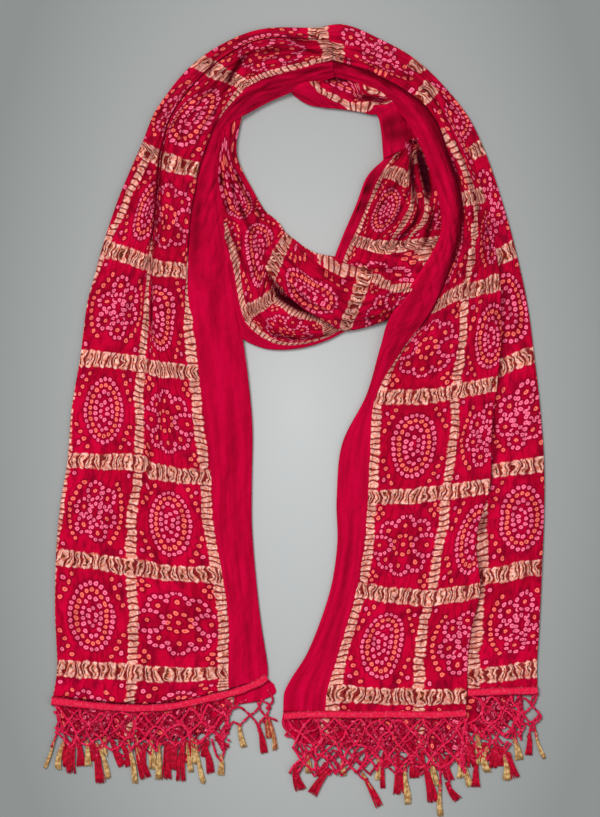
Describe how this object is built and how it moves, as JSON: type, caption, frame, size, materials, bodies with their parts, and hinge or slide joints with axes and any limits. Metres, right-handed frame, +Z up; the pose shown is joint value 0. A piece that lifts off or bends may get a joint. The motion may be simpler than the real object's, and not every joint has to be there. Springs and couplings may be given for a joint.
{
  "type": "dupatta stole",
  "caption": "Crimson tie-dyed dupatta stole with a gold check and fringed hems, laid flat in one neck loop with both ends running down.",
  "frame": {"origin": "centre of the bounding box's base, on the surface that the stole lies on", "axes": "+Z up from the surface, +Y from the hems towards the back of the neck, +X towards the right end"},
  "size_m": [0.494, 0.7906, 0.0296],
  "materials": {
    "printed_cloth": "crinkled soft silk blend, tie-dyed dots, woven gold check",
    "hem_braid": "satin braid",
    "net_cord": "twisted cord, knotted",
    "tassel_yarn": "loose yarn, crimson and gold"
  },
  "bodies": {
    "root": {"left_end": "printed_cloth", "neck_back": "printed_cloth", "neck_back_under": "printed_cloth", "neck_loop": "printed_cloth", "right_end": "printed_cloth", "right_pleat": "printed_cloth", "left_hem_tape": "hem_braid", "right_hem_tape": "hem_braid", "right_pleat_hem_tape": "hem_braid", "left_under_layer": "printed_cloth", "right_under_layer": "printed_cloth", "right_pleat_under_layer": "printed_cloth", "left_net_fringe": "net_cord", "right_net_fringe": "net_cord", "right_pleat_net_fringe": "net_cord", "left_tassels": "tassel_yarn", "right_tassels": "tassel_yarn", "right_pleat_tassels": "tassel_yarn"}
  },
  "joints": []
}
